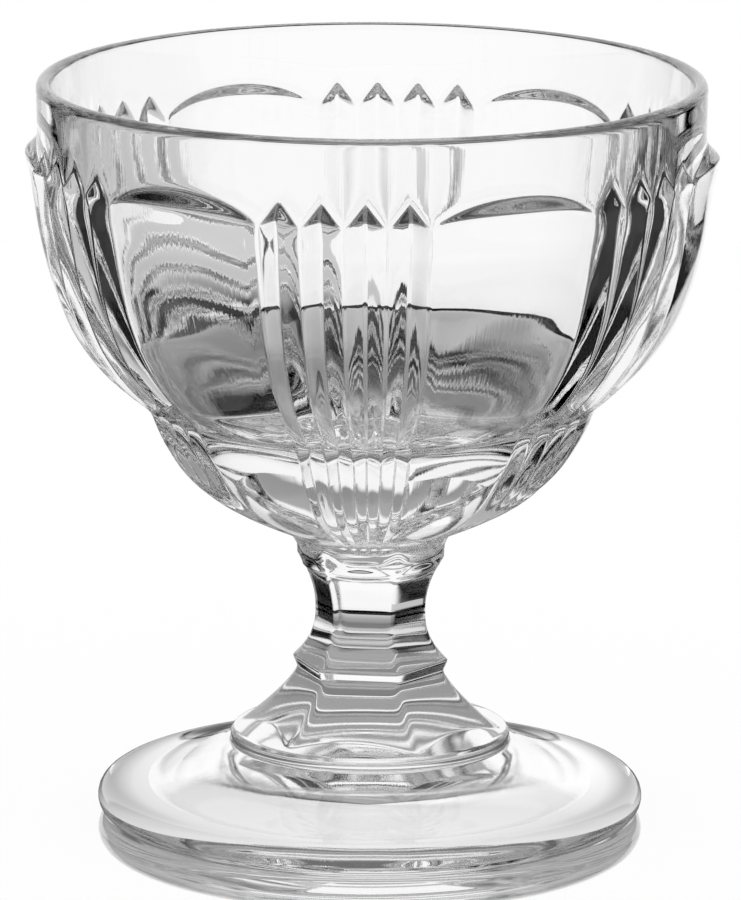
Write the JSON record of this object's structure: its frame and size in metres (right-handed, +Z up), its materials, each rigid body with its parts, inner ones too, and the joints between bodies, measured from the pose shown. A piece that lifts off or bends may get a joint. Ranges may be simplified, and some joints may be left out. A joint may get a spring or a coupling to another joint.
{
  "type": "footed dessert glass",
  "caption": "Footed pressed-glass bowl for fruit cocktail, with pointed ribs and arched panels, a six-sided stem and a round foot.",
  "frame": {"origin": "centre of the foot's underside, on the surface that it stands on", "axes": "+Z up along the axis of the glass; the picture's front is the -Y side, with +X to the right"},
  "size_m": [0.0934, 0.0932, 0.101],
  "materials": {
    "clear_glass": "clear colourless pressed glass, fire-polished and glossy"
  },
  "bodies": {
    "root": {"glass": "clear_glass"}
  },
  "joints": []
}
